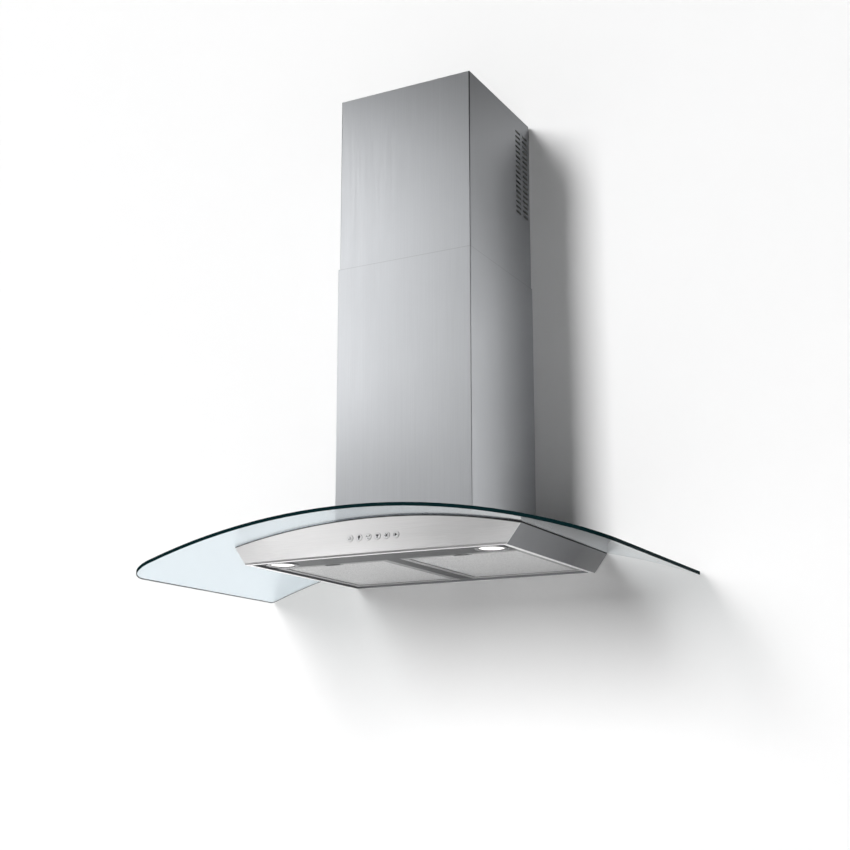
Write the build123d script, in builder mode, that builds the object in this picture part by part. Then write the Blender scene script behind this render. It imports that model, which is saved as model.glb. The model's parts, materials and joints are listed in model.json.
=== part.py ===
from build123d import *
import math
import os

# Curved glass range hood for a wall, with a telescopic chimney.
# Millimetres: +X to the right, +Y into the wall, +Z up. The wall is the plane Y = 0, and the
# origin is the centre of the four wall holes.

os.makedirs("parts", exist_ok=True)

# ---------------------------------------------------------------- driving dimensions
# glass canopy
glass_width = 898.0
glass_depth = 466.0
glass_rise = 81.5               # top face, from the side tips up to the crown
glass_thickness = 6.0
glass_front_corner = 55.0
glass_rear_corner = 8.0
glass_edge_round = 1.2
glass_off_wall = 2.5
glass_drop = 118.5              # crown of the glass below the centre of the wall holes
notch_gap = 4.0                 # round the motor box
gasket_thickness = 1.5
gasket_width = 14.0

# hood body
body_width = 501.0              # at its lower edge
body_depth = 389.0              # from the wall to the lower front edge, in the middle
body_height = 70.5              # lower edge below the crown of the glass
side_lean = 36.9                # degrees, outwards going up
front_lean = 7.9                # degrees, backwards going up
lower_bow = 8.3                 # how far the lower front edge bulges over its width
upper_bow = 1.0
sheet = 1.0
rim_width = 8.0
rim_height = 3.0
lip_height = 3.5
lip_flare = 1.6

# underside and grease filters
divider_width = 24.0
side_margin = 10.5              # from the lower edge of a side to a filter opening
front_strip = 86.0              # from the lower front edge to the filter openings
rear_strip = 16.0               # from the wall to the filter openings
opening_flange = 3.0            # rises above a closed filter
filter_gap = 1.0                # round a closed filter
filter_height = 9.0
filter_rail = 12.0
filter_sheet = 0.8
mesh_sheet = 0.8
mesh_pitch_x = 15.0
mesh_pitch_y = 15.0
mesh_strand = 3.2
hinge_pin_radius = 2.0
hinge_setback = 4.0             # hinge axis in from the filter's rear edge
latch_width = 30.0
latch_length = 8.0
latch_travel = 6.0
latch_nose_width = 18.0
latch_nose_height = 2.6
latch_wall = 1.0

# lamps
lamp_x = 203.0
lamp_gap = 1.5                  # from a lamp's housing to the flange of a filter opening
lamp_lens_radius = 24.0
lamp_lens_thickness = 3.0
lamp_trim_flange = 5.0          # beyond the lens
lamp_trim_wall = 1.5
lamp_neck_height = 7.0
lamp_can_flange = 6.5           # beyond the lens
lamp_can_height = 28.0
lamp_bulb_radius = 4.0
lamp_bulb_length = 20.0
lamp_base_length = 14.0
lamp_base_width = 9.0
lamp_base_height = 7.0

# buttons
button_count = 6
button_pitch = 17.6
button_radius = 6.0
button_row_x = 8.0
button_row_rise = 30.0          # above the lower edge of the body
button_proud = 0.8
button_cap_depth = 4.0
button_collar = 1.6             # beyond the cap
button_stem_radius = 3.0
button_stem_length = 7.0
button_travel = 1.2
board_thickness = 1.6
switch_size = 6.0
switch_height = 1.4
switch_gap = 0.1
guide_height = 22.0
guide_thickness = 3.5
guide_margin = 8.0              # past the outer buttons' share of the row
guide_post = 5.0

# wall plate
plate_thickness = 2.0
plate_side_in = 2.0             # inside the outer face of the lower cover
plate_corner = 8.0
plate_below = 175.0             # reach under the centre of the wall holes
plate_above = 140.0
wall_hole_x = 216.0             # spacing of the four wall holes
wall_hole_z = 180.0
wall_hole_radius = 4.0

# motor box, scroll, fan and motor
motor_box_width = 190.0
motor_box_flange = 12.0
front_room = 12.0               # from the control box to the front of the upper cover
wheel_rise = 118.5              # fan axis above the crown of the glass
wheel_radius = 70.0
wheel_width = 92.0
blade_depth = 12.0
blade_thickness = 1.0
blade_count = 36
blade_angle = 35.0
wheel_disc = 2.0
wheel_ring = 3.0
hub_radius = 12.0
hub_length = 20.0
shaft_radius = 4.0
wheel_side_gap = 4.0
scroll_gap = 8.0                # from the wheel to the first quarter of the scroll
scroll_step = 8.0               # growth of each quarter
scroll_wall = 1.5
scroll_off_box = 4.5
inlet_lip = 10.0                # wheel radius less inlet radius
neck_length = 51.0              # above the first quarter of the scroll
motor_radius = 40.0
motor_length = 42.0
spider_thickness = 2.5
spider_arm = 10.0

# outlet collar and its two flaps
duct_radius = 74.0              # outside of the collars, for a duct of 150 bore
duct_wall = 1.5
collar_height = 50.0
collar_flange = 8.0             # beyond the collar
flap_rise = 20.0                # flap pin above the collar's flange
flap_pin_radius = 2.0
flap_thickness = 1.2
flap_knuckle_radius = 4.0
flap_knuckle_length = 24.0
flap_rim = 3.0

# chimney covers
chimney_sheet = 0.8
upper_width = 271.0
upper_depth = 268.0             # from the wall to the outer front face
upper_length = 490.0
upper_reveal = 338.0            # length that stands above the lower cover at rest
cover_side_gap = 0.7            # between the two covers, at each side
cover_front_gap = 2.2
lower_height = 488.5            # top of the lower cover above the crown of the glass
cover_return = 12.0             # rear flanges of the covers
lower_off_wall = 2.3
upper_off_wall = 4.0
cover_bend = 1.6                # outer radius of the front corners
cover_screw_rise = 25.0         # above the crown of the glass
vent_rows = 17
vent_columns = 2
vent_pitch_z = 10.3
vent_pitch_y = 32.0
vent_length = 23.0
vent_height = 5.0
vent_top = 34.0                 # first row below the top of the cover
vent_rear = 24.3                # middle of the rear column in front of the wall

# ceiling bracket and air deflector
strap_height = 25.0
strap_drop = 5.0                # strap below the top of the cover
strap_thickness = 2.0
strap_hole_x = 160.0
strap_hole_radius = 3.0
strap_corner = 3.0
spacer_radius = 4.6
deflector_wall = 1.5
deflector_depth = 160.0
deflector_off_wall = 6.0
deflector_margin = 3.0          # outside the vents, above and below
deflector_spigot = 40.0
deflector_tab_x = 80.0
deflector_tab = 18.0

# control box
control_width = 120.0
control_height = 90.0
control_depth = 30.0
control_wall = 2.0
control_corner = 4.0
control_rise = 38.0             # above the crown of the glass
gland_bore = 4.0
gland_thread_radius = 6.0
gland_cap_radius = 7.0
gland_nut_radius = 9.0
gland_height = 22.0
gland_round = 1.5
capacitor_radius = 12.0
capacitor_round = 2.0
capacitor_length = 55.0

# screws
screw_radius = 2.0
screw_head_radius = 3.6
screw_head = 2.4
glass_screw_radius = 2.5
glass_screw_head_radius = 6.0
glass_nut_radius = 5.0
glass_nut_height = 4.0
grommet_radius = 8.0
grommet_flange = 1.4
glass_screw_side = 20.0         # outside the motor box
glass_screw_rear = 60.0         # rear pair, from the wall
glass_screw_front = 200.0

# clearances
seat = 0.2                      # between curved faces that sit on each other
slip = 0.3                      # between loose neighbours
running = 0.05                  # radial, round pins, stems and shafts

# ---------------------------------------------------------------- levels that follow
crown_z = -glass_drop
body_bottom_z = crown_z - body_height
rim_top_z = body_bottom_z + rim_height
strip_top_z = rim_top_z + sheet
glass_radius = (glass_width**2 / 4 + glass_rise**2) / (2 * glass_rise)
glass_under = glass_radius - glass_thickness
arc_z = crown_z - glass_radius
roof_radius = glass_under - gasket_thickness
roof_under = roof_radius - sheet
side_sheet = sheet / math.cos(math.radians(side_lean))

opening_width = (body_width - divider_width) / 2 - side_margin
opening_x = (divider_width + opening_width) / 2
opening_rear_y = -rear_strip
opening_front_y = -(body_depth - front_strip)
swing_gap = math.hypot(hinge_setback, filter_height / 2) - hinge_setback + slip
filter_width = opening_width - 2 * filter_gap
filter_rear_y = opening_rear_y - swing_gap
filter_front_y = opening_front_y + filter_gap
filter_length = filter_rear_y - filter_front_y
filter_y = (filter_rear_y + filter_front_y) / 2
hinge_y = filter_rear_y - hinge_setback
hinge_z = rim_top_z + filter_height / 2
lamp_can_radius = lamp_lens_radius + lamp_can_flange
lamp_y = opening_front_y - sheet - lamp_gap - lamp_can_radius

motor_box_front = upper_depth - front_room - control_depth - control_wall
scroll_width = wheel_width + 2 * wheel_side_gap
scroll_start = wheel_radius + scroll_gap
scroll_inlet_radius = wheel_radius - inlet_lip
wheel_y = -(plate_thickness + sheet + scroll_off_box + scroll_wall + scroll_start + scroll_step / 2)
wheel_z = crown_z + wheel_rise
neck_top_z = wheel_z + scroll_start + neck_length
motor_box_top_z = neck_top_z + sheet
neck_front_y = wheel_y - scroll_step / 2 - scroll_start - 2 * scroll_step
neck_rear_y = wheel_y + scroll_step / 2
outlet_y = (neck_front_y + neck_rear_y) / 2
flap_z = motor_box_top_z + flap_rise
duct_bore = duct_radius - duct_wall
glass_screw_x = motor_box_width / 2 + glass_screw_side

lower_width = upper_width + 2 * (cover_side_gap + chimney_sheet)
lower_depth = upper_depth + cover_front_gap + chimney_sheet
lower_top_z = crown_z + lower_height
chimney_top_z = lower_top_z + upper_reveal
upper_bottom_z = chimney_top_z - upper_length
vent_z = chimney_top_z - vent_top - (vent_rows - 1) * vent_pitch_z / 2
vent_y = -vent_rear - vent_pitch_y * (vent_columns - 1) / 2
strap_z = chimney_top_z - strap_drop - strap_height / 2
vents_height = (vent_rows - 1) * vent_pitch_z + vent_height
deflector_height = vents_height + 2 * deflector_margin + 2 * deflector_wall
deflector_bottom_z = vent_z - deflector_height / 2
deflector_y = -deflector_off_wall - deflector_depth / 2


# ---------------------------------------------------------------- shared shapes
def save(piece, name):
    """Label a finished piece and write it under its name."""
    piece.part.label = name
    export_step(piece.part, f"parts/{name}.step")


def roof_half_width(radius):
    """Half width of the body where its leaning sides meet an arc about the canopy's axis."""
    slope = math.tan(math.radians(side_lean))
    half = body_width / 2
    level = body_bottom_z - arc_z
    linear = half * slope + level
    square = 1 + slope**2
    up = (math.sqrt(linear**2 - square * (half**2 + level**2 - radius**2)) - linear) / square
    return half + up * slope


def arc_plane(radius, x, y):
    """Plane square to the canopy's curve where its top face is x off the middle."""
    tilt = math.asin(x / glass_radius)
    return Plane(
        origin=(radius * math.sin(tilt), y, arc_z + radius * math.cos(tilt)),
        x_dir=(math.cos(tilt), 0, -math.sin(tilt)),
        z_dir=(math.sin(tilt), 0, math.cos(tilt)),
    )


def under_arc(radius):
    """Everything under an arc about the canopy's axis."""
    with BuildPart() as under:
        with BuildSketch(Plane.XZ.offset(-glass_depth)):
            with Locations((0, arc_z)):
                Circle(radius)
        extrude(amount=3 * glass_depth)
    return under.part


def front_depth(z):
    """Distance from the wall to the front of the body at height z, in the middle."""
    return body_depth - (z - body_bottom_z) * math.tan(math.radians(front_lean))


def body_outline(z, side_in=0.0, front_in=0.0, rear_in=0.0, wing=0.0):
    """Plan of the body at height z, drawn in by those amounts, with wings past its sides."""
    up = z - body_bottom_z
    half = body_width / 2 + up * math.tan(math.radians(side_lean)) - side_in
    bow = lower_bow + (upper_bow - lower_bow) * up / body_height
    front = front_in - front_depth(z)
    shoulder = front + bow
    rear = -plate_thickness - rear_in
    corners = [(half + wing, rear), (-half - wing, rear)]
    if wing > 0:
        corners = [(half + wing, shoulder)] + corners + [(-half - wing, shoulder)]
    with BuildSketch(Plane.XY.offset(z)) as outline:
        with BuildLine():
            ThreePointArc((-half, shoulder), (0, front), (half, shoulder))
            Polyline((half, shoulder), *corners, (-half, shoulder))
        make_face()
    return outline.sketch.face()


def body_form(low, high, radius, **insets):
    """Solid inside the body's outline from low to high, under the arc of that radius."""
    with BuildPart() as form:
        loft([body_outline(low, **insets), body_outline(high, **insets)], ruled=True)
        add(under_arc(radius), mode=Mode.INTERSECT)
    return form.part


behind_front = body_form(body_bottom_z, crown_z, glass_radius, front_in=sheet, wing=body_width / 4)

# ---------------------------------------------------------------- glass canopy
with BuildPart() as glass_canopy:
    with BuildSketch(Plane.XZ.offset(glass_off_wall - 1)):
        with Locations((0, arc_z)):
            Circle(glass_radius)
            Circle(glass_under, mode=Mode.SUBTRACT)
        with Locations((0, crown_z)):
            Rectangle(glass_width + 2, 4 * glass_rise, mode=Mode.INTERSECT)
    extrude(amount=glass_depth + 2)
    with BuildSketch(Plane.XY.offset(crown_z + 1)) as canopy_plan:
        with Locations((0, -glass_off_wall - glass_depth / 2)):
            Rectangle(glass_width, glass_depth)
        fillet(canopy_plan.vertices().group_by(Axis.Y)[0], glass_front_corner)
        fillet(canopy_plan.vertices().group_by(Axis.Y)[-1], glass_rear_corner)
    extrude(amount=-2 * glass_rise, mode=Mode.INTERSECT)
    with BuildSketch(Plane.XY.offset(crown_z + 1)) as notch_plan:
        Rectangle(motor_box_width + 2 * notch_gap, 2 * (motor_box_front + notch_gap))
        fillet(notch_plan.vertices(), glass_rear_corner)
    extrude(amount=-2 * glass_rise, mode=Mode.SUBTRACT)
    faces_of_sheet = glass_canopy.faces().sort_by(SortBy.AREA)[-2:]
    fillet([rim for face in faces_of_sheet for rim in face.outer_wire().edges()], glass_edge_round)
    for hole_x in (-glass_screw_x, glass_screw_x):
        for hole_from_wall in (glass_screw_rear, glass_screw_front):
            with BuildSketch(arc_plane(glass_radius + 1, hole_x, -hole_from_wall)):
                Circle(grommet_radius / 2)
            extrude(amount=-2 * glass_thickness, mode=Mode.SUBTRACT)
save(glass_canopy, "glass_canopy")

# soft strip between the roof of the body and the glass
with BuildPart() as glass_gasket:
    add(body_form(body_bottom_z, crown_z, glass_under - seat, side_in=sheet, front_in=sheet))
    add(under_arc(roof_radius + seat), mode=Mode.SUBTRACT)
    window_front = front_depth(crown_z) - upper_bow - gasket_width
    window_rear = plate_thickness + gasket_width
    with BuildSketch(Plane.XY.offset(body_bottom_z)):
        with Locations((0, -(window_front + window_rear) / 2)):
            Rectangle(2 * (roof_half_width(roof_radius) - gasket_width), window_front - window_rear)
    extrude(amount=2 * body_height, mode=Mode.SUBTRACT)
    with BuildSketch(Plane.XY.offset(body_bottom_z)):
        Rectangle(motor_box_width + 2 * notch_gap, 2 * (motor_box_front + notch_gap))
    extrude(amount=2 * body_height, mode=Mode.SUBTRACT)
save(glass_gasket, "glass_gasket")

# grommets, screws and nuts that clamp the glass to the roof
with BuildPart() as glass_grommets:
    for hole_x in (-glass_screw_x, glass_screw_x):
        for hole_from_wall in (glass_screw_rear, glass_screw_front):
            on_glass = arc_plane(glass_radius + seat / 2, hole_x, -hole_from_wall)
            with BuildSketch(on_glass):
                Circle(grommet_radius)
                Circle(glass_screw_radius + slip, mode=Mode.SUBTRACT)
            extrude(amount=grommet_flange)
            with BuildSketch(on_glass):
                Circle(grommet_radius / 2 - slip)
                Circle(glass_screw_radius + slip, mode=Mode.SUBTRACT)
            extrude(amount=-glass_thickness - gasket_thickness)
save(glass_grommets, "glass_grommets")

with BuildPart() as glass_screws:
    for hole_x in (-glass_screw_x, glass_screw_x):
        for hole_from_wall in (glass_screw_rear, glass_screw_front):
            head_plane = arc_plane(glass_radius + seat / 2 + grommet_flange, hole_x, -hole_from_wall)
            with BuildSketch(head_plane):
                Circle(glass_screw_head_radius)
            extrude(amount=screw_head)
            with BuildSketch(head_plane):
                Circle(glass_screw_radius)
            extrude(amount=-glass_thickness - gasket_thickness - sheet - 3 * screw_head)
            with BuildSketch(head_plane.offset(screw_head)):
                RegularPolygon(glass_screw_radius, 6)
            extrude(amount=-screw_head / 2, mode=Mode.SUBTRACT)
save(glass_screws, "glass_screws")

with BuildPart() as glass_nuts:
    for hole_x in (-glass_screw_x, glass_screw_x):
        for hole_from_wall in (glass_screw_rear, glass_screw_front):
            with BuildSketch(arc_plane(roof_under - seat, hole_x, -hole_from_wall)):
                RegularPolygon(glass_nut_radius, 6)
                Circle(glass_screw_radius + running, mode=Mode.SUBTRACT)
            extrude(amount=-glass_nut_height)
save(glass_nuts, "glass_nuts")

# ---------------------------------------------------------------- hood body
box_flange_x = motor_box_width / 2 - sheet - motor_box_flange / 2
box_flange_rear = plate_thickness + sheet + motor_box_flange / 2
box_flange_front = motor_box_front - sheet - motor_box_flange / 2
box_window_y = -(box_flange_rear + box_flange_front) / 2
box_window_width = 2 * box_flange_x - motor_box_flange
box_window_length = box_flange_front - box_flange_rear - motor_box_flange

with BuildPart() as body_shell:
    add(body_form(body_bottom_z, crown_z, roof_radius))
    add(behind_front, mode=Mode.INTERSECT)
    add(
        body_form(rim_top_z, crown_z, roof_under, side_in=side_sheet, front_in=-lip_flare, rear_in=sheet),
        mode=Mode.SUBTRACT,
    )
    with BuildSketch(Plane.XY.offset(body_bottom_z)):
        add(body_outline(body_bottom_z, side_in=rim_width, front_in=rim_width, rear_in=rim_width))
    extrude(amount=rim_height, mode=Mode.SUBTRACT)
    with BuildSketch(Plane.XY.offset(strip_top_z)) as roof_window:
        with Locations((0, box_window_y)):
            Rectangle(box_window_width, box_window_length)
        fillet(roof_window.vertices(), plate_corner)
    extrude(amount=2 * body_height, mode=Mode.SUBTRACT)
    for hole_x in (-glass_screw_x, glass_screw_x):
        for hole_from_wall in (glass_screw_rear, glass_screw_front):
            with BuildSketch(arc_plane(roof_radius + 1, hole_x, -hole_from_wall)):
                Circle(glass_screw_radius + slip)
            extrude(amount=-3 * sheet, mode=Mode.SUBTRACT)
    for hole_x in (-box_flange_x, box_flange_x):
        for hole_from_wall in (box_flange_rear, box_flange_front):
            with BuildSketch(arc_plane(roof_radius + 1, hole_x, -hole_from_wall)):
                Circle(screw_radius + running)
            extrude(amount=-3 * sheet, mode=Mode.SUBTRACT)
save(body_shell, "body_shell")

# the buttons move square to the front panel, at this plane on its outer face
button_z = body_bottom_z + button_row_rise
lean = math.radians(front_lean)
button_plane = Plane(
    origin=(button_row_x, -front_depth(button_z), button_z),
    x_dir=(1, 0, 0),
    z_dir=(0, -math.cos(lean), math.sin(lean)),
)
panel_depth = sheet / math.cos(lean)
button_offsets = [(i - (button_count - 1) / 2) * button_pitch for i in range(button_count)]

with BuildPart() as front_panel:
    add(body_form(body_bottom_z, crown_z, roof_radius))
    loft(
        [
            body_outline(body_bottom_z, front_in=-lip_flare),
            body_outline(body_bottom_z + lip_height),
        ],
        ruled=True,
    )
    add(behind_front, mode=Mode.SUBTRACT)
    with BuildSketch(button_plane.offset(button_travel)):
        with Locations(*[(offset_x, 0) for offset_x in button_offsets]):
            Circle(button_radius + slip)
    extrude(amount=-3 * button_travel - 3 * sheet, mode=Mode.SUBTRACT)
save(front_panel, "front_panel")

# ---------------------------------------------------------------- underside
with BuildPart() as underside_frame:
    with BuildSketch(Plane.XY.offset(rim_top_z)):
        add(
            body_outline(
                rim_top_z,
                side_in=side_sheet + slip,
                front_in=sheet + slip,
                rear_in=sheet + slip,
            )
        )
    extrude(amount=sheet)
    for opening in (-opening_x, opening_x):
        with BuildSketch(Plane.XY.offset(rim_top_z)):
            with Locations((opening, (opening_front_y + opening_rear_y) / 2)):
                Rectangle(opening_width + 2 * sheet, opening_rear_y - opening_front_y + 2 * sheet)
        extrude(amount=filter_height + opening_flange)
    for opening in (-opening_x, opening_x):
        with BuildSketch(Plane.XY.offset(rim_top_z)):
            with Locations((opening, (opening_front_y + opening_rear_y) / 2)):
                Rectangle(opening_width, opening_rear_y - opening_front_y)
        extrude(amount=filter_height + opening_flange, mode=Mode.SUBTRACT)
    with BuildSketch(Plane.XY.offset(rim_top_z)):
        with Locations((-lamp_x, lamp_y), (lamp_x, lamp_y)):
            Circle(lamp_lens_radius + lamp_trim_wall + slip)
    extrude(amount=sheet, mode=Mode.SUBTRACT)
    with BuildSketch(Plane.YZ.offset(-body_width / 2)):
        with Locations((hinge_y, hinge_z)):
            Circle(hinge_pin_radius + running)
    extrude(amount=body_width, mode=Mode.SUBTRACT)
save(underside_frame, "underside_frame")

for side_name, side in (("left", -1), ("right", 1)):
    # trim ring that holds the lens from below
    with BuildPart() as lamp_trim:
        with BuildSketch(Plane.XY.offset(rim_top_z)):
            with Locations((side * lamp_x, lamp_y)):
                Circle(lamp_lens_radius + lamp_trim_flange)
                Circle(lamp_lens_radius - lamp_trim_wall, mode=Mode.SUBTRACT)
        extrude(amount=-lamp_trim_wall)
        fillet(lamp_trim.edges().group_by(Axis.Z)[0].sort_by(SortBy.LENGTH)[-1], lamp_trim_wall / 2)
        with BuildSketch(Plane.XY.offset(rim_top_z)):
            with Locations((side * lamp_x, lamp_y)):
                Circle(lamp_lens_radius + lamp_trim_wall)
                Circle(lamp_lens_radius + slip, mode=Mode.SUBTRACT)
        extrude(amount=lamp_neck_height)
    save(lamp_trim, f"{side_name}_lamp_trim")

    with BuildPart() as lamp_lens:
        with BuildSketch(Plane.XY.offset(rim_top_z)):
            with Locations((side * lamp_x, lamp_y)):
                Circle(lamp_lens_radius)
        extrude(amount=lamp_lens_thickness)
        chamfer(lamp_lens.edges().group_by(Axis.Z)[-1], lamp_trim_wall / 3)
    save(lamp_lens, f"{side_name}_lamp_lens")

    with BuildPart() as lamp_can:
        with BuildSketch(Plane.XY.offset(strip_top_z)):
            with Locations((side * lamp_x, lamp_y)):
                Circle(lamp_can_radius)
        extrude(amount=lamp_can_height)
        fillet(lamp_can.edges().group_by(Axis.Z)[-1], 2 * sheet)
        with BuildSketch(Plane.XY.offset(strip_top_z)):
            with Locations((side * lamp_x, lamp_y)):
                Circle(lamp_can_radius - sheet)
        extrude(amount=lamp_can_height - sheet, mode=Mode.SUBTRACT)
    save(lamp_can, f"{side_name}_lamp_housing")

    # capsule bulb, its base against the inside of the housing's top
    with BuildPart() as lamp_bulb:
        bulb_top = strip_top_z + lamp_can_height - sheet
        with BuildSketch(Plane.XY.offset(bulb_top)):
            with Locations((side * lamp_x, lamp_y)):
                Rectangle(lamp_base_length, lamp_base_width)
        extrude(amount=-lamp_base_height)
        with BuildSketch(Plane.XY.offset(bulb_top)):
            with Locations((side * lamp_x, lamp_y)):
                Circle(lamp_bulb_radius)
        extrude(amount=-lamp_bulb_length)
        fillet(lamp_bulb.edges().group_by(Axis.Z)[0], lamp_bulb_radius / 2)
    save(lamp_bulb, f"{side_name}_lamp_bulb")

# ---------------------------------------------------------------- grease filters
pocket_width = latch_width + 2 * (slip + latch_wall)
pocket_length = latch_length + latch_travel + 2 * (slip + latch_wall) + filter_sheet
mesh_width = filter_width - 2 * filter_sheet - 2 * slip
mesh_length = filter_length - 2 * filter_sheet - 2 * slip
window_width = filter_width - 2 * filter_rail
window_length = filter_length - 2 * filter_rail
mesh_columns = int(window_width / mesh_pitch_x)
mesh_rows = int(window_length / mesh_pitch_y)
mesh_hole_x = mesh_pitch_x - mesh_strand
mesh_hole_y = mesh_pitch_y - mesh_strand
latch_z = rim_top_z + filter_height / 2
latch_height = filter_height - 2 * latch_wall - 2 * slip
pocket_y = filter_front_y + pocket_length / 2
latch_y = filter_front_y + filter_sheet + slip + latch_length / 2

for side_name, side in (("left", -1), ("right", 1)):
    filter_x = side * opening_x
    with BuildPart() as filter_frame:
        # folded channel all round, open towards the mesh
        with BuildSketch(Plane.XY.offset(rim_top_z)):
            with Locations((filter_x, filter_y)):
                Rectangle(filter_width, filter_length)
                Rectangle(window_width, window_length, mode=Mode.SUBTRACT)
        extrude(amount=filter_height)
        with BuildSketch(Plane.XY.offset(rim_top_z + filter_sheet)):
            with Locations((filter_x, filter_y)):
                Rectangle(filter_width - 2 * filter_sheet, filter_length - 2 * filter_sheet)
        extrude(amount=filter_height - 2 * filter_sheet, mode=Mode.SUBTRACT)
        # pocket of the latch, open below through an oval finger recess
        with BuildSketch(Plane.XY.offset(rim_top_z)):
            with Locations((filter_x, pocket_y)):
                Rectangle(pocket_width, pocket_length)
        extrude(amount=filter_height)
        with BuildSketch(Plane.XY.offset(rim_top_z + latch_wall)):
            with Locations((filter_x, pocket_y + (filter_sheet - latch_wall) / 2)):
                Rectangle(pocket_width - 2 * latch_wall, pocket_length - latch_wall - filter_sheet)
        extrude(amount=filter_height - 2 * latch_wall, mode=Mode.SUBTRACT)
        with BuildSketch(Plane.XY.offset(rim_top_z)):
            with Locations((filter_x, pocket_y + (filter_sheet - latch_wall) / 2)):
                SlotOverall(latch_width, latch_length + latch_travel - latch_wall)
        extrude(amount=latch_wall, mode=Mode.SUBTRACT)
        # slot for the latch's nose in the front wall
        with BuildSketch(Plane.XZ.offset(-filter_front_y)):
            with Locations((filter_x, latch_z)):
                Rectangle(latch_nose_width + 2 * slip, latch_nose_height + 2 * slip)
        extrude(amount=-filter_sheet, mode=Mode.SUBTRACT)
        # hinge pins at both rear ends, through the flanges of the opening
        for end in (-1, 1):
            pin_start = filter_x + end * (filter_width / 2 - filter_sheet / 2)
            pin_reach = filter_sheet / 2 + filter_gap + sheet + slip
            with BuildSketch(Plane.YZ.offset(pin_start)):
                with Locations((hinge_y, hinge_z)):
                    Circle(hinge_pin_radius)
            extrude(amount=end * pin_reach)
    save(filter_frame, f"{side_name}_filter_frame")

    # two sheets of mesh, one on each flange of the channel
    with BuildPart() as filter_mesh:
        lower_sheet_z = rim_top_z + filter_sheet
        upper_sheet_z = rim_top_z + filter_height - filter_sheet - mesh_sheet
        for sheet_z in (lower_sheet_z, upper_sheet_z):
            with BuildSketch(Plane.XY.offset(sheet_z)):
                with Locations((filter_x, filter_y)):
                    Rectangle(mesh_width, mesh_length)
                with Locations((filter_x, filter_y)):
                    with GridLocations(mesh_pitch_x, mesh_pitch_y, mesh_columns, mesh_rows):
                        Rectangle(mesh_hole_x, mesh_hole_y, mode=Mode.SUBTRACT)
                with Locations((filter_x, pocket_y)):
                    Rectangle(pocket_width + 2 * slip, pocket_length + 2 * slip, mode=Mode.SUBTRACT)
            extrude(amount=mesh_sheet)
    save(filter_mesh, f"{side_name}_filter_mesh")

    # latch: slider, nose towards the front strip and a ridge for the finger
    with BuildPart() as filter_latch:
        with BuildSketch(Plane.XY.offset(latch_z - latch_height / 2)):
            with Locations((filter_x, latch_y)):
                Rectangle(latch_width, latch_length)
        extrude(amount=latch_height)
        with BuildSketch(Plane.XZ.offset(-latch_y)):
            with Locations((filter_x, latch_z)):
                Rectangle(latch_nose_width, latch_nose_height)
        extrude(amount=latch_y - filter_front_y + filter_gap - slip)
        with BuildSketch(Plane.XY.offset(latch_z)):
            with Locations((filter_x, latch_y - latch_length / 4 + slip)):
                Rectangle(latch_width / 2, 2 * latch_wall)
        extrude(amount=-filter_height / 2 + slip)
        fillet(filter_latch.edges().filter_by(Axis.Z).group_by(SortBy.LENGTH)[-1], latch_wall / 2)
    save(filter_latch, f"{side_name}_filter_latch")

# ---------------------------------------------------------------- buttons
button_names = ["timer", "light", "slower", "faster", "boost", "power"]
collar_front = -panel_depth - 2 * slip
stem_end = -button_cap_depth - button_stem_length
switch_top = stem_end - button_travel - switch_gap
board_top = switch_top - switch_height
guide_front = -button_cap_depth - button_travel - slip
guide_length = button_count * button_pitch + 2 * guide_margin
post_x = (guide_length - guide_post) / 2

for button_name, offset_x in zip(button_names, button_offsets):
    with BuildPart() as button:
        with BuildSketch(button_plane.offset(button_proud)):
            with Locations((offset_x, 0)):
                Circle(button_radius)
        extrude(amount=-button_proud - button_cap_depth)
        fillet(button.edges().sort_by(Axis.Y)[0], button_proud / 2)
        with BuildSketch(button_plane.offset(-button_cap_depth)):
            with Locations((offset_x, 0)):
                Circle(button_radius + button_collar)
        extrude(amount=button_cap_depth + collar_front)
        with BuildSketch(button_plane.offset(-button_cap_depth)):
            with Locations((offset_x, 0)):
                Circle(button_stem_radius)
        extrude(amount=-button_stem_length)
    save(button, f"{button_name}_button")

# guide that the stems run in, with end posts to the panel and to the board
with BuildPart() as button_guide:
    with BuildSketch(button_plane.offset(guide_front)):
        Rectangle(guide_length, guide_height)
        with Locations(*[(offset_x, 0) for offset_x in button_offsets]):
            Circle(button_stem_radius + running, mode=Mode.SUBTRACT)
    extrude(amount=-guide_thickness)
    with BuildSketch(button_plane.offset(board_top)):
        with Locations((-post_x, 0), (post_x, 0)):
            Rectangle(guide_post, guide_height)
    extrude(amount=collar_front - 2 * slip - board_top)
save(button_guide, "button_guide")

with BuildPart() as control_board:
    with BuildSketch(button_plane.offset(board_top)):
        Rectangle(guide_length, guide_height)
    extrude(amount=-board_thickness)
    with BuildSketch(button_plane.offset(board_top)):
        with Locations(*[(offset_x, 0) for offset_x in button_offsets]):
            Rectangle(switch_size, switch_size)
    extrude(amount=switch_height)
    with BuildSketch(button_plane.offset(board_top - board_thickness)):
        with Locations((guide_length / 4, 0)):
            Rectangle(2 * switch_size, switch_size)
    extrude(amount=-2 * switch_height)
save(control_board, "control_board")

# ---------------------------------------------------------------- wall plate and motor box
cover_screw_x = lower_width / 2 - chimney_sheet - cover_return / 2
cover_screw_z = crown_z + cover_screw_rise

with BuildPart() as wall_plate:
    with BuildSketch(Plane.XZ):
        with Locations((0, (plate_above - plate_below) / 2)):
            RectangleRounded(lower_width - 2 * plate_side_in, plate_above + plate_below, plate_corner)
        with GridLocations(wall_hole_x, wall_hole_z, 2, 2):
            Circle(wall_hole_radius, mode=Mode.SUBTRACT)
        with Locations((-cover_screw_x, cover_screw_z), (cover_screw_x, cover_screw_z)):
            Circle(screw_radius + running, mode=Mode.SUBTRACT)
    extrude(amount=plate_thickness)
save(wall_plate, "wall_plate")

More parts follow.
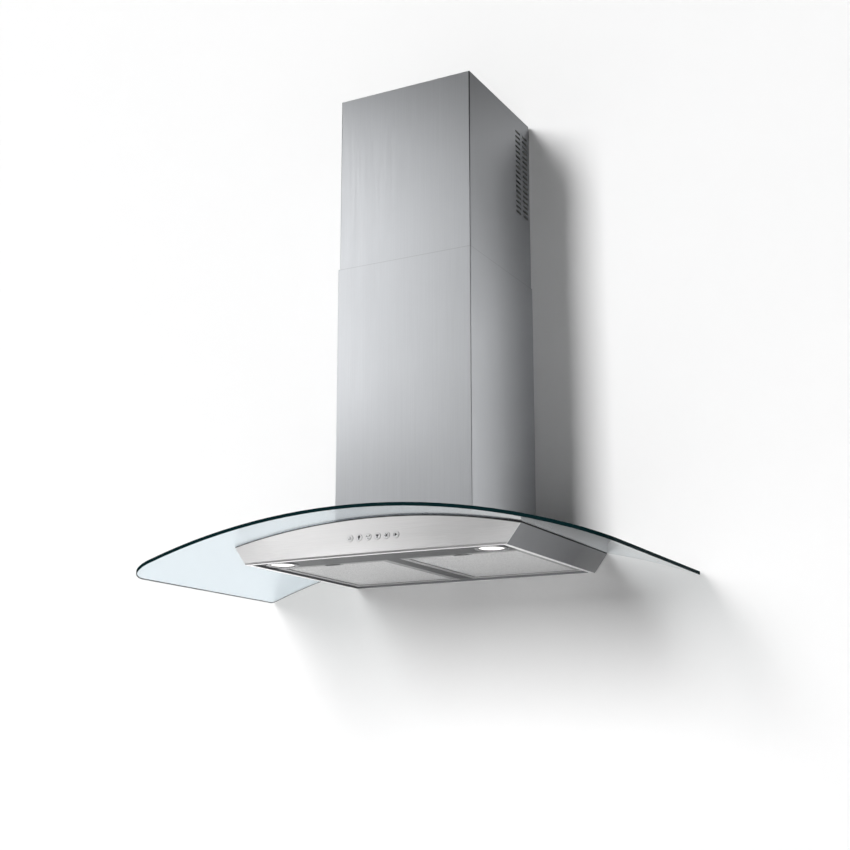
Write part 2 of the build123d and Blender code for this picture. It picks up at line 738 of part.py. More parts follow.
with BuildPart() as motor_box:
    with BuildSketch(Plane.XY.offset(motor_box_top_z)):
        with Locations((0, -(plate_thickness + motor_box_front) / 2)):
            Rectangle(motor_box_width, motor_box_front - plate_thickness)
    extrude(amount=crown_z - body_height - motor_box_top_z)
    with BuildSketch(Plane.XY.offset(motor_box_top_z - sheet)):
        with Locations((0, -(plate_thickness + motor_box_front) / 2)):
            Rectangle(motor_box_width - 2 * sheet, motor_box_front - plate_thickness - 2 * sheet)
    extrude(amount=crown_z - body_height - motor_box_top_z, mode=Mode.SUBTRACT)
    with BuildSketch(Plane.XY.offset(motor_box_top_z - sheet)):
        with Locations((0, outlet_y)):
            Circle(duct_bore - slip)
    extrude(amount=sheet, mode=Mode.SUBTRACT)
    # flange turned inwards, lying on the curved roof
    with BuildSketch(Plane.XZ.offset(plate_thickness + sheet / 2)):
        with Locations((0, arc_z)):
            Circle(roof_radius + seat + sheet)
        with Locations((0, crown_z)):
            Rectangle(motor_box_width - sheet, 4 * body_height, mode=Mode.INTERSECT)
    extrude(amount=motor_box_front - plate_thickness - sheet)
    with BuildSketch(Plane.XY.offset(crown_z - 2 * body_height)):
        with Locations((0, box_window_y)):
            Rectangle(box_window_width, box_window_length)
    extrude(amount=2 * body_height, mode=Mode.SUBTRACT)
    add(under_arc(roof_radius + seat), mode=Mode.SUBTRACT)
    for hole_x in (-box_flange_x, box_flange_x):
        for hole_from_wall in (box_flange_rear, box_flange_front):
            with BuildSketch(arc_plane(roof_radius + 3 * sheet, hole_x, -hole_from_wall)):
                Circle(screw_radius + running)
            extrude(amount=-4 * sheet, mode=Mode.SUBTRACT)
save(motor_box, "motor_box")

with BuildPart() as motor_box_screws:
    for hole_x in (-box_flange_x, box_flange_x):
        for hole_from_wall in (box_flange_rear, box_flange_front):
            head_plane = arc_plane(roof_under - seat / 2, hole_x, -hole_from_wall)
            with BuildSketch(head_plane):
                Circle(screw_head_radius)
            extrude(amount=-screw_head)
            with BuildSketch(head_plane):
                Circle(screw_radius)
            extrude(amount=4 * sheet)
save(motor_box_screws, "motor_box_screws")


# ---------------------------------------------------------------- scroll, fan and motor
def scroll_outline(x, top, grow=0.0):
    """Scroll in a plane across the fan axis: three quarters that grow, then a straight neck."""
    half = scroll_step / 2
    first = scroll_start
    second = scroll_start + scroll_step
    third = scroll_start + 2 * scroll_step
    diagonal = math.sqrt(0.5)
    with BuildSketch(Plane.YZ.offset(x)) as outline:
        with BuildLine():
            ThreePointArc(
                (wheel_y + half, wheel_z - half + first),
                (wheel_y + half + diagonal * first, wheel_z - half + diagonal * first),
                (wheel_y + half + first, wheel_z - half),
            )
            ThreePointArc(
                (wheel_y - half + second, wheel_z - half),
                (wheel_y - half + diagonal * second, wheel_z - half - diagonal * second),
                (wheel_y - half, wheel_z - half - second),
            )
            ThreePointArc(
                (wheel_y - half, wheel_z + half - third),
                (wheel_y - half - diagonal * third, wheel_z + half - diagonal * third),
                (wheel_y - half - third, wheel_z + half),
            )
            Polyline(
                (neck_front_y, wheel_z + half),
                (neck_front_y, top),
                (neck_rear_y, top),
                (neck_rear_y, wheel_z - half + first),
            )
        make_face()
        if grow > 0:
            offset(amount=grow, kind=Kind.INTERSECTION)
    return outline.sketch.face()


with BuildPart() as scroll_housing:
    extrude(
        scroll_outline(-scroll_width / 2 - scroll_wall, neck_top_z - scroll_wall, scroll_wall),
        amount=scroll_width + 2 * scroll_wall,
        dir=(1, 0, 0),
    )
    extrude(
        scroll_outline(-scroll_width / 2, neck_top_z + scroll_wall),
        amount=scroll_width,
        dir=(1, 0, 0),
        mode=Mode.SUBTRACT,
    )
    with BuildSketch(Plane.YZ.offset(-scroll_width)):
        with Locations((wheel_y, wheel_z)):
            Circle(scroll_inlet_radius)
    extrude(amount=2 * scroll_width, mode=Mode.SUBTRACT)
save(scroll_housing, "scroll_housing")

with BuildPart() as fan_wheel:
    with BuildSketch(Plane.YZ.offset(-wheel_width / 2)):
        with Locations((wheel_y, wheel_z)):
            with PolarLocations(wheel_radius - blade_depth / 2, blade_count):
                Rectangle(blade_depth, blade_thickness, rotation=blade_angle)
    extrude(amount=wheel_width)
    with BuildSketch(Plane.YZ.offset(-wheel_disc / 2)):
        with Locations((wheel_y, wheel_z)):
            Circle(wheel_radius)
    extrude(amount=wheel_disc)
    for ring_x in (-wheel_width / 2, wheel_width / 2 - wheel_ring):
        with BuildSketch(Plane.YZ.offset(ring_x)):
            with Locations((wheel_y, wheel_z)):
                Circle(wheel_radius)
                Circle(wheel_radius - blade_depth, mode=Mode.SUBTRACT)
        extrude(amount=wheel_ring)
    with BuildSketch(Plane.YZ.offset(wheel_disc / 2)):
        with Locations((wheel_y, wheel_z)):
            Circle(hub_radius)
    extrude(amount=hub_length)
    with BuildSketch(Plane.YZ.offset(-wheel_width)):
        with Locations((wheel_y, wheel_z)):
            Circle(shaft_radius)
    extrude(amount=2 * wheel_width, mode=Mode.SUBTRACT)
save(fan_wheel, "fan_wheel")

motor_x = -scroll_width / 2 - scroll_wall

with BuildPart() as motor_shaft:
    with BuildSketch(Plane.YZ.offset(motor_x + motor_length / 4)):
        with Locations((wheel_y, wheel_z)):
            Circle(shaft_radius)
    extrude(amount=-motor_x - motor_length / 4 + hub_length + 2 * wheel_disc)
save(motor_shaft, "motor_shaft")

with BuildPart() as motor:
    with BuildSketch(Plane.YZ.offset(motor_x)):
        with Locations((wheel_y, wheel_z)):
            Circle(motor_radius)
    extrude(amount=motor_length)
    fillet(motor.edges().group_by(Axis.X)[-1], 2 * spider_thickness)
    with BuildSketch(Plane.YZ.offset(motor_x)):
        with Locations((wheel_y, wheel_z)):
            Circle(shaft_radius + running)
    extrude(amount=motor_length, mode=Mode.SUBTRACT)
save(motor, "motor")

with BuildPart() as motor_spider:
    with BuildSketch(Plane.YZ.offset(motor_x)):
        with Locations((wheel_y, wheel_z)):
            Circle(motor_radius)
            with PolarLocations(scroll_inlet_radius / 2, 3, start_angle=90):
                Rectangle(scroll_inlet_radius + 2 * spider_arm, spider_arm)
            Circle(motor_radius - spider_arm, mode=Mode.SUBTRACT)
            with PolarLocations(scroll_inlet_radius + spider_arm / 2, 3, start_angle=90):
                Circle(screw_radius + running, mode=Mode.SUBTRACT)
    extrude(amount=-spider_thickness)
save(motor_spider, "motor_spider")

with BuildPart() as spider_screws:
    with BuildSketch(Plane.YZ.offset(motor_x - spider_thickness)):
        with Locations((wheel_y, wheel_z)):
            with PolarLocations(scroll_inlet_radius + spider_arm / 2, 3, start_angle=90):
                Circle(screw_head_radius)
    extrude(amount=-screw_head)
    with BuildSketch(Plane.YZ.offset(motor_x - spider_thickness)):
        with Locations((wheel_y, wheel_z)):
            with PolarLocations(scroll_inlet_radius + spider_arm / 2, 3, start_angle=90):
                Circle(screw_radius)
    extrude(amount=spider_thickness)
save(spider_screws, "spider_screws")

# ---------------------------------------------------------------- outlet collar and flaps
with BuildPart() as outlet_collar:
    with BuildSketch(Plane.XY.offset(motor_box_top_z)):
        with Locations((0, outlet_y)):
            Circle(duct_radius + collar_flange)
    extrude(amount=duct_wall)
    with BuildSketch(Plane.XY.offset(motor_box_top_z)):
        with Locations((0, outlet_y)):
            Circle(duct_radius)
    extrude(amount=collar_height)
    with BuildSketch(Plane.XY.offset(motor_box_top_z)):
        with Locations((0, outlet_y)):
            Circle(duct_bore)
    extrude(amount=collar_height, mode=Mode.SUBTRACT)
    # ledge that the closed flaps rest on
    with BuildSketch(Plane.XY.offset(flap_z - flap_thickness / 2 - slip)):
        with Locations((0, outlet_y)):
            Circle(duct_bore)
            Circle(duct_bore - flap_rim, mode=Mode.SUBTRACT)
    extrude(amount=-duct_wall)
    with BuildSketch(Plane.YZ.offset(-duct_radius)):
        with Locations((outlet_y, flap_z)):
            Circle(flap_pin_radius)
    extrude(amount=2 * duct_radius, mode=Mode.SUBTRACT)
save(outlet_collar, "outlet_collar")

with BuildPart() as flap_pin:
    with BuildSketch(Plane.YZ.offset(-duct_radius)):
        with Locations((outlet_y, flap_z)):
            Circle(flap_pin_radius)
    extrude(amount=2 * duct_radius)
save(flap_pin, "flap_pin")

knuckle_pitch = flap_knuckle_length + 2 * slip
for flap_name, way, knuckle_shift in (("front", -1, -1), ("rear", 1, 1)):
    knuckle_middle = knuckle_shift * knuckle_pitch / 2
    knuckles_x = [knuckle_middle - knuckle_pitch, knuckle_middle + knuckle_pitch]
    flap_edge = flap_knuckle_radius + 2 * slip
    with BuildPart() as flap:
        with BuildSketch(Plane.XY.offset(flap_z - flap_thickness / 2)):
            with Locations((0, outlet_y)):
                Circle(duct_bore - 2 * slip)
            with Locations((0, outlet_y + way * (flap_edge + duct_radius / 2))):
                Rectangle(2 * duct_radius, duct_radius, mode=Mode.INTERSECT)
            with Locations(*[(x, outlet_y + way * flap_knuckle_radius) for x in knuckles_x]):
                Rectangle(flap_knuckle_length, flap_knuckle_radius + flap_edge)
        extrude(amount=flap_thickness)
        for knuckle_x in knuckles_x:
            with BuildSketch(Plane.YZ.offset(knuckle_x - flap_knuckle_length / 2)):
                with Locations((outlet_y, flap_z)):
                    Circle(flap_knuckle_radius)
            extrude(amount=flap_knuckle_length)
        with BuildSketch(Plane.YZ.offset(-duct_radius)):
            with Locations((outlet_y, flap_z)):
                Circle(flap_pin_radius + running)
        extrude(amount=2 * duct_radius, mode=Mode.SUBTRACT)
    save(flap, f"{flap_name}_flap")


# ---------------------------------------------------------------- chimney covers
def cover_outline(width, depth, off_wall):
    """Plan of a cover: front, two sides and a flange turned in at each rear edge."""
    with BuildSketch() as outline:
        with Locations((0, -(depth + off_wall) / 2)):
            Rectangle(width, depth - off_wall)
        fillet(outline.vertices().group_by(Axis.Y)[0], cover_bend)
        with BuildSketch(mode=Mode.PRIVATE) as hollow:
            with Locations((0, -(depth + off_wall) / 2)):
                Rectangle(width - 2 * chimney_sheet, depth - off_wall - 2 * chimney_sheet)
            fillet(hollow.vertices().group_by(Axis.Y)[0], cover_bend - chimney_sheet)
        add(hollow.sketch, mode=Mode.SUBTRACT)
        with Locations((0, -off_wall)):
            Rectangle(width - 2 * chimney_sheet - 2 * cover_return, 4 * chimney_sheet, mode=Mode.SUBTRACT)
    return outline.sketch


with BuildPart() as lower_chimney:
    with BuildSketch(Plane.XY.offset(lower_top_z)):
        add(cover_outline(lower_width, lower_depth, lower_off_wall))
    extrude(amount=-lower_height - glass_rise)
    add(under_arc(glass_radius + slip), mode=Mode.SUBTRACT)
    with BuildSketch(Plane.XZ.offset(lower_off_wall)):
        with Locations((-cover_screw_x, cover_screw_z), (cover_screw_x, cover_screw_z)):
            Circle(screw_radius + running)
    extrude(amount=chimney_sheet, mode=Mode.SUBTRACT)
save(lower_chimney, "lower_chimney")

with BuildPart() as lower_chimney_screws:
    with BuildSketch(Plane.XZ.offset(lower_off_wall + chimney_sheet)):
        with Locations((-cover_screw_x, cover_screw_z), (cover_screw_x, cover_screw_z)):
            Circle(screw_head_radius)
    extrude(amount=screw_head)
    with BuildSketch(Plane.XZ):
        with Locations((-cover_screw_x, cover_screw_z), (cover_screw_x, cover_screw_z)):
            Circle(screw_radius)
    extrude(amount=lower_off_wall + chimney_sheet)
save(lower_chimney_screws, "lower_chimney_screws")

strap_screw_x = upper_width / 2 - chimney_sheet - cover_return / 2

with BuildPart() as upper_chimney:
    with BuildSketch(Plane.XY.offset(upper_bottom_z)):
        add(cover_outline(upper_width, upper_depth, upper_off_wall))
    extrude(amount=upper_length)
    with BuildSketch(Plane.YZ.offset(-upper_width)):
        with Locations((vent_y, vent_z)):
            with GridLocations(vent_pitch_y, vent_pitch_z, vent_columns, vent_rows):
                SlotOverall(vent_length, vent_height)
    extrude(amount=2 * upper_width, mode=Mode.SUBTRACT)
    with BuildSketch(Plane.XZ.offset(upper_off_wall)):
        with Locations((-strap_screw_x, strap_z), (strap_screw_x, strap_z)):
            Circle(screw_radius + running)
    extrude(amount=chimney_sheet, mode=Mode.SUBTRACT)
save(upper_chimney, "upper_chimney")

# ---------------------------------------------------------------- ceiling bracket, deflector
with BuildPart() as ceiling_bracket:
    with BuildSketch(Plane.XZ):
        with Locations((0, strap_z)):
            RectangleRounded(upper_width - 2 * chimney_sheet - 2 * slip, strap_height, strap_corner)
            with Locations((-strap_hole_x / 2, 0), (strap_hole_x / 2, 0)):
                Circle(strap_hole_radius, mode=Mode.SUBTRACT)
    extrude(amount=strap_thickness)
    with BuildSketch(Plane.XZ.offset(strap_thickness)):
        with Locations((-strap_screw_x, strap_z), (strap_screw_x, strap_z)):
            Circle(spacer_radius)
    extrude(amount=upper_off_wall - strap_thickness)
    with BuildSketch(Plane.XZ.offset(strap_thickness)):
        with Locations((-deflector_tab_x / 2, strap_z), (deflector_tab_x / 2, strap_z)):
            Circle(spacer_radius)
    extrude(amount=deflector_off_wall - strap_thickness)
    with BuildSketch(Plane.XZ):
        with Locations((-strap_screw_x, strap_z), (strap_screw_x, strap_z)):
            Circle(screw_radius + running)
        with Locations((-deflector_tab_x / 2, strap_z), (deflector_tab_x / 2, strap_z)):
            Circle(screw_radius + running)
    extrude(amount=deflector_off_wall, mode=Mode.SUBTRACT)
save(ceiling_bracket, "ceiling_bracket")

with BuildPart() as bracket_screws:
    for screw_x, bearing_y in (
        (-strap_screw_x, upper_off_wall + chimney_sheet),
        (strap_screw_x, upper_off_wall + chimney_sheet),
        (-deflector_tab_x / 2, deflector_off_wall + deflector_wall),
        (deflector_tab_x / 2, deflector_off_wall + deflector_wall),
    ):
        with BuildSketch(Plane.XZ.offset(bearing_y)):
            with Locations((screw_x, strap_z)):
                Circle(screw_head_radius)
        extrude(amount=screw_head)
        with BuildSketch(Plane.XZ.offset(slip)):
            with Locations((screw_x, strap_z)):
                Circle(screw_radius)
        extrude(amount=bearing_y - slip)
save(bracket_screws, "bracket_screws")

with BuildPart() as air_deflector:
    deflector_width = upper_width - 2 * chimney_sheet - 2 * slip
    with BuildSketch(Plane.YZ.offset(-deflector_width / 2)):
        with Locations((deflector_y, vent_z)):
            Rectangle(deflector_depth, deflector_height)
    extrude(amount=deflector_width)
    with BuildSketch(Plane.XY.offset(deflector_bottom_z)):
        with Locations((0, deflector_y)):
            Circle(duct_radius)
    extrude(amount=-deflector_spigot)
    with BuildSketch(Plane.YZ.offset(-deflector_width / 2)):
        with Locations((deflector_y, vent_z)):
            Rectangle(deflector_depth - 2 * deflector_wall, deflector_height - 2 * deflector_wall)
    extrude(amount=deflector_width, mode=Mode.SUBTRACT)
    with BuildSketch(Plane.XY.offset(deflector_bottom_z + deflector_wall)):
        with Locations((0, deflector_y)):
            Circle(duct_bore)
    extrude(amount=-deflector_spigot - deflector_wall, mode=Mode.SUBTRACT)
    # tabs in front of the bracket
    tab_top_z = strap_z + deflector_tab / 2
    tab_bottom_z = deflector_bottom_z + deflector_height - deflector_wall
    with BuildSketch(Plane.XZ.offset(deflector_off_wall)):
        with Locations(
            (-deflector_tab_x / 2, (tab_top_z + tab_bottom_z) / 2),
            (deflector_tab_x / 2, (tab_top_z + tab_bottom_z) / 2),
        ):
            Rectangle(deflector_tab, tab_top_z - tab_bottom_z)
        with Locations((-deflector_tab_x / 2, strap_z), (deflector_tab_x / 2, strap_z)):
            Circle(screw_radius + running, mode=Mode.SUBTRACT)
    extrude(amount=deflector_wall)
save(air_deflector, "air_deflector")

# ---------------------------------------------------------------- control box
control_y = -motor_box_front - control_depth / 2
control_bottom_z = crown_z + control_rise
control_top_z = control_bottom_z + control_height

with BuildPart() as control_box:
    with BuildSketch(Plane.XZ.offset(motor_box_front)):
        with Locations((0, control_bottom_z + control_height / 2)):
            RectangleRounded(control_width, control_height, control_corner)
    extrude(amount=control_depth)
    with BuildSketch(Plane.XZ.offset(motor_box_front + control_wall)):
        with Locations((0, control_bottom_z + control_height / 2)):
            RectangleRounded(
                control_width - 2 * control_wall,
                control_height - 2 * control_wall,
                control_corner - control_wall,
            )
    extrude(amount=control_depth, mode=Mode.SUBTRACT)
    with BuildSketch(Plane.XY.offset(control_top_z)):
        with Locations((control_width / 4, control_y)):
            Circle(gland_thread_radius + running)
    extrude(amount=-control_wall, mode=Mode.SUBTRACT)
save(control_box, "control_box")

with BuildPart() as control_box_cover:
    with BuildSketch(Plane.XZ.offset(motor_box_front + control_depth)):
        with Locations((0, control_bottom_z + control_height / 2)):
            RectangleRounded(control_width, control_height, control_corner)
    extrude(amount=control_wall)
save(control_box_cover, "control_box_cover")

with BuildPart() as transformer:
    with BuildSketch(Plane.XZ.offset(motor_box_front + control_wall)):
        with Locations((-control_width / 5, control_bottom_z + control_height / 2)):
            Rectangle(control_width / 3, control_height / 2)
    extrude(amount=control_depth - 3 * control_wall)
save(transformer, "transformer")

# inlet of the mains cord: flange nut on top, thread through the wall
with BuildPart() as cable_gland:
    with BuildSketch(Plane.XY.offset(control_top_z)):
        with Locations((control_width / 4, control_y)):
            RegularPolygon(gland_nut_radius, 6)
    extrude(amount=gland_height / 3)
    with BuildSketch(Plane.XY.offset(control_top_z)):
        with Locations((control_width / 4, control_y)):
            Circle(gland_cap_radius)
    extrude(amount=2 * gland_height / 3)
    fillet(cable_gland.edges().group_by(Axis.Z)[-1], gland_round)
    with BuildSketch(Plane.XY.offset(control_top_z)):
        with Locations((control_width / 4, control_y)):
            Circle(gland_thread_radius)
    extrude(amount=-gland_height / 3)
    with BuildSketch(Plane.XY.offset(control_top_z - gland_height / 3)):
        with Locations((control_width / 4, control_y)):
            Circle(gland_bore)
    extrude(amount=gland_height, mode=Mode.SUBTRACT)
save(cable_gland, "cable_gland")

with BuildPart() as capacitor:
    with BuildSketch(Plane.XY.offset(wheel_z - capacitor_length / 2)):
        with Locations((motor_box_width / 2 + capacitor_radius + sheet, -motor_box_front / 2)):
            Circle(capacitor_radius)
    extrude(amount=capacitor_length)
    fillet(capacitor.edges().group_by(Axis.Z)[-1], capacitor_round)
    with BuildSketch(Plane.XY.offset(wheel_z - capacitor_radius / 2)):
        with Locations((motor_box_width / 2 + sheet / 2, -motor_box_front / 2)):
            Rectangle(sheet, 2 * capacitor_radius)
        with Locations((motor_box_width / 2 + sheet + capacitor_radius / 4, -motor_box_front / 2)):
            Rectangle(capacitor_radius / 2, capacitor_radius)
    extrude(amount=capacitor_radius)
save(capacitor, "capacitor")
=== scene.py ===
"""Looks of the curved glass range hood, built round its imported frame. Metres, +Y into the wall."""

import json
import math

import bmesh
import bpy
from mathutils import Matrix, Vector


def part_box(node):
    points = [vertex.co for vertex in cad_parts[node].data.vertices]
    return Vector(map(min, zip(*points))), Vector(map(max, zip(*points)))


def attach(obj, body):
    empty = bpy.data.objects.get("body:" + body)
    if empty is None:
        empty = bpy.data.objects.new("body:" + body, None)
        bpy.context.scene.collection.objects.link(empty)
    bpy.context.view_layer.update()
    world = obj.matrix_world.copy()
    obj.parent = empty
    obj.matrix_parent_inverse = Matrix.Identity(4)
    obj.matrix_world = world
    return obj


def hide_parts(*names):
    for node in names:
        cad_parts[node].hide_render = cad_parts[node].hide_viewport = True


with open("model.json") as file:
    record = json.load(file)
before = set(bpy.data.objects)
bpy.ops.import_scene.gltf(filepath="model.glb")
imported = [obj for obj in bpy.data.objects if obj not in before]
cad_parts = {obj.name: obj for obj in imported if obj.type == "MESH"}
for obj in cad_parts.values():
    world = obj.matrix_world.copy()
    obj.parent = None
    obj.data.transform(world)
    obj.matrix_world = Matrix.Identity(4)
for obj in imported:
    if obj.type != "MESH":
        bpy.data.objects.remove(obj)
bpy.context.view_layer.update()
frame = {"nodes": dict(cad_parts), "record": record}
nodes = frame["nodes"]
slots = {entry["node"]: entry["material_slot"] for entry in frame["record"]["subparts"]}
MM = 0.001


# ---------------------------------------------------------------- material helpers
def scaled(colour, factor):
    return tuple(min(1.0, factor * c) for c in colour)


class Finish:
    """A procedural material: a Principled shader and the nodes that feed it."""

    def __init__(self, name, colour, roughness, metallic=0.0, **sockets):
        self.material = bpy.data.materials.new(name)
        self.material.use_nodes = True
        self.tree = self.material.node_tree
        self.shader = self.tree.nodes["Principled BSDF"]
        self.coordinates = self.node("TexCoord").outputs["Object"]
        self.feed("Base Color", colour)
        self.feed("Roughness", roughness)
        self.feed("Metallic", metallic)
        for socket, value in sockets.items():
            self.feed(socket.replace("_", " "), value)

    def wire(self, socket, value):
        """Link an output to the socket, or set the socket's own number, vector or colour."""
        if isinstance(value, bpy.types.NodeSocket):
            self.tree.links.new(value, socket)
        elif socket.type == "RGBA":
            socket.default_value = (*value, 1.0)
        else:
            socket.default_value = value

    def feed(self, socket, value):
        self.wire(self.shader.inputs[socket], value)

    def node(self, kind, **inputs):
        made = self.tree.nodes.new("ShaderNode" + kind)
        for name, value in inputs.items():
            self.wire(made.inputs[name.replace("_", " ")], value)
        return made

    def axes(self, vector):
        """X, Y and Z of a vector."""
        return self.node("SeparateXYZ", Vector=vector).outputs

    def noise(self, scale, stretch=(1, 1, 1), detail=3.0, rough=0.6):
        where = self.node("Mapping", Vector=self.coordinates, Scale=stretch).outputs["Vector"]
        made = self.node("TexNoise", Vector=where, Scale=scale, Detail=detail, Roughness=rough)
        return made.outputs["Fac"]

    def cells(self, scale, output):
        return self.node("TexVoronoi", Vector=self.coordinates, Scale=scale).outputs[output]

    def range(self, value, low, high, start=0.3, end=0.7):
        """From low to high as value goes from start to end."""
        limits = {"From_Min": start, "From_Max": end, "To_Min": low, "To_Max": high}
        return self.node("MapRange", Value=value, **limits).outputs["Result"]

    def math(self, operation, first, second=0.0):
        made = self.node("Math")
        made.operation = operation
        self.wire(made.inputs[0], first)
        self.wire(made.inputs[1], second)
        return made.outputs[0]

    def distance(self, first, second):
        """Length of a vector with these two parts."""
        squares = (self.math("MULTIPLY", part, part) for part in (first, second))
        return self.math("SQRT", self.math("ADD", *squares))

    def blend(self, factor, first, second):
        """Colour that goes from first to second as factor goes from 0 to 1."""
        made = self.node("Mix")
        made.data_type = "RGBA"
        for index, value in ((0, factor), (6, first), (7, second)):
            self.wire(made.inputs[index], value)
        return made.outputs[2]

    def mixed(self, factor, first, second):
        """Shader that goes from first to second as factor goes from 0 to 1."""
        made = self.node("MixShader")
        for index, value in enumerate((factor, first, second)):
            self.wire(made.inputs[index], value)
        return made.outputs[0]

    def show(self, shader):
        self.wire(self.tree.nodes["Material Output"].inputs["Surface"], shader)

    def bump(self, height, strength, distance):
        made = self.node("Bump", Height=height, Strength=strength, Distance=distance)
        self.feed("Normal", made.outputs["Normal"])


BRUSH_LONG = 0.35               # scale of the brushed lines along the grain
BRUSH_FINE = 60.0               # and across it
BRUSH_SPREAD = 0.06             # how far the roughness goes up and down
LINE_SHARE = 0.75               # of the shading; the rest is soft clouds


def brushed(name, colour, roughness, grain, depth=0.25, turned=0.55, contrast=0.90,
            mark=None, marked=None):
    """Brushed metal with its grain along X or Z; the colour goes to marked as mark goes to 1."""
    finish = Finish(name, colour, roughness, 1.0, Anisotropic=turned)
    stretch = tuple(BRUSH_LONG if axis == grain else BRUSH_FINE for axis in "XYZ")
    lines = finish.noise(18, stretch, 4.0, 0.7)
    clouds = finish.noise(5.0)
    rough = finish.range(lines, roughness - BRUSH_SPREAD, roughness + BRUSH_SPREAD)
    finish.feed("Roughness", rough)
    line_part = finish.math("MULTIPLY", lines, LINE_SHARE)
    cloud_part = finish.math("MULTIPLY", clouds, 1 - LINE_SHARE)
    shade = finish.range(finish.math("ADD", line_part, cloud_part), 0.0, 1.0)
    plain = finish.blend(shade, scaled(colour, contrast), scaled(colour, 1.05))
    finish.feed("Base Color", finish.blend(mark(finish), plain, marked) if mark else plain)
    finish.bump(lines, depth, 0.03 * MM)
    tangent = finish.node("Tangent")
    tangent.direction_type = "RADIAL"
    tangent.axis = grain
    finish.feed("Tangent", tangent.outputs["Tangent"])
    return finish.material


def plated(name, colour, roughness, spangle, depth=0.15, contrast=0.80):
    """Zinc or nickel over steel: soft patches of differing brightness."""
    finish = Finish(name, colour, roughness, 1.0)
    grey = finish.node("RGBToBW", Color=finish.cells(spangle, "Color")).outputs["Val"]
    shade = finish.range(grey, 0.0, 1.0, 0.2, 0.8)
    finish.feed("Base Color", finish.blend(shade, scaled(colour, contrast), colour))
    finish.feed("Roughness", finish.range(grey, roughness - 0.05, roughness + 0.12, 0.2, 0.8))
    finish.bump(finish.noise(400), depth, 0.05 * MM)
    return finish.material


def moulded(name, colour, roughness, grain=900.0, depth=0.3):
    """Moulded plastic with a fine eroded grain and faint flow marks."""
    finish = Finish(name, colour, roughness)
    fine = finish.noise(grain, detail=2.0)
    flow = finish.range(finish.noise(14), 0.0, 1.0)
    finish.feed("Roughness", finish.range(fine, roughness - 0.06, roughness + 0.10))
    lighter = tuple(min(1.0, 1.08 * c + 0.003) for c in colour)
    finish.feed("Base Color", finish.blend(flow, colour, lighter))
    finish.bump(fine, depth, 0.06 * MM)
    return finish.material


# ---------------------------------------------------------------- glass, lamps, rubber, board
GLASS_TINT = (0.74, 0.825, 0.875)
GLASS_MIRROR = (0.62, 0.88, 1.0)        # tint of what the pane mirrors
GLASS_RIM = (0.003, 0.016, 0.018)
GLASS_BOUNCE = (0.88, 0.88, 0.88)       # share of the light that a bounced ray keeps
GLASS_SHADOW = (0.68, 0.69, 0.69)       # and of the light that reaches its shadow
RIM_ASIDE = (0.42, 0.6)                 # tilt of the surface towards X, from pane to rim
RIM_AHEAD = (0.15, 0.5)                 # and towards Y
RIM_COVER = 0.94                        # how much of the rim is dull


def canopy_glass():
    """Clear tempered glass with a dull dark rim, which lets light through to what is behind."""
    finish = Finish("canopy_glass", GLASS_TINT, 0.0, IOR=1.5, Transmission_Weight=1.0,
                    Specular_Tint=GLASS_MIRROR)
    tilt = finish.axes(finish.node("TexCoord").outputs["Normal"])
    aside = finish.range(finish.math("ABSOLUTE", tilt["X"]), 0.0, 1.0, *RIM_ASIDE)
    ahead = finish.range(finish.math("ABSOLUTE", tilt["Y"]), 0.0, 1.0, *RIM_AHEAD)
    rim = finish.math("MAXIMUM", aside, ahead)
    finish.feed("Base Color", finish.blend(rim, GLASS_TINT, GLASS_RIM))
    dull = finish.node("BsdfDiffuse", Color=GLASS_RIM).outputs[0]
    cover = finish.math("MULTIPLY", rim, RIM_COVER)
    glass = finish.mixed(cover, finish.shader.outputs[0], dull)

    # shadow rays, and bounced rays that come from outside the pane, pass straight through
    path = finish.node("LightPath").outputs
    bounced = finish.math("MAXIMUM", path["Is Diffuse Ray"], path["Is Glossy Ray"])
    outside = finish.math("LESS_THAN", path["Transmission Depth"], 0.5)
    from_outside = finish.math("MULTIPLY", bounced, outside)
    passing = finish.math("MAXIMUM", path["Is Shadow Ray"], from_outside)
    kept = finish.blend(path["Is Shadow Ray"], GLASS_BOUNCE, GLASS_SHADOW)
    finish.show(finish.mixed(passing, glass, finish.node("BsdfTransparent", Color=kept).outputs[0]))
    return finish.material


LAMP_WHITE = (1.0, 0.98, 0.94)
LAMP_GLOW = 1.3
LAMP_FADE = (0.82, 0.92)                # shares of the lens's radius between which the glow ends


def lit_lens():
    """Frosted lens of a lamp that is on, with fine pips pressed into it."""
    finish = Finish("lamp_lens", (0.45, 0.45, 0.45), 0.35, Emission_Color=LAMP_WHITE)
    low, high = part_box("right_lamp_lens")
    place = finish.axes(finish.coordinates)
    off_x = finish.math("SUBTRACT", finish.math("ABSOLUTE", place["X"]), (low.x + high.x) / 2)
    off_y = finish.math("SUBTRACT", place["Y"], (low.y + high.y) / 2)
    fade = [share * (high.x - low.x) / 2 for share in LAMP_FADE]
    glow = finish.range(finish.distance(off_x, off_y), LAMP_GLOW, 0.0, *fade)
    finish.feed("Emission Strength", glow)
    finish.bump(finish.cells(420, "Distance"), 0.5, 0.2 * MM)
    return finish.material


def soft_rubber():
    finish = Finish("black_gasket", (0.012, 0.012, 0.012), 0.6, Specular_IOR_Level=0.15)
    finish.bump(finish.noise(700), 0.4, 0.1 * MM)
    finish.feed("Roughness", finish.range(finish.noise(60), 0.5, 0.72))
    return finish.material


def circuit_board():
    """Green lacquer with brighter copper runs under it."""
    finish = Finish("circuit_board", (0.02, 0.16, 0.07), 0.35, Coat_Weight=0.4)
    runs = finish.node("TexBrick", Vector=finish.coordinates, Scale=220.0).outputs["Fac"]
    finish.feed("Base Color", finish.blend(runs, (0.015, 0.13, 0.06), (0.05, 0.28, 0.12)))
    finish.bump(runs, 0.3, 0.04 * MM)
    return finish.material


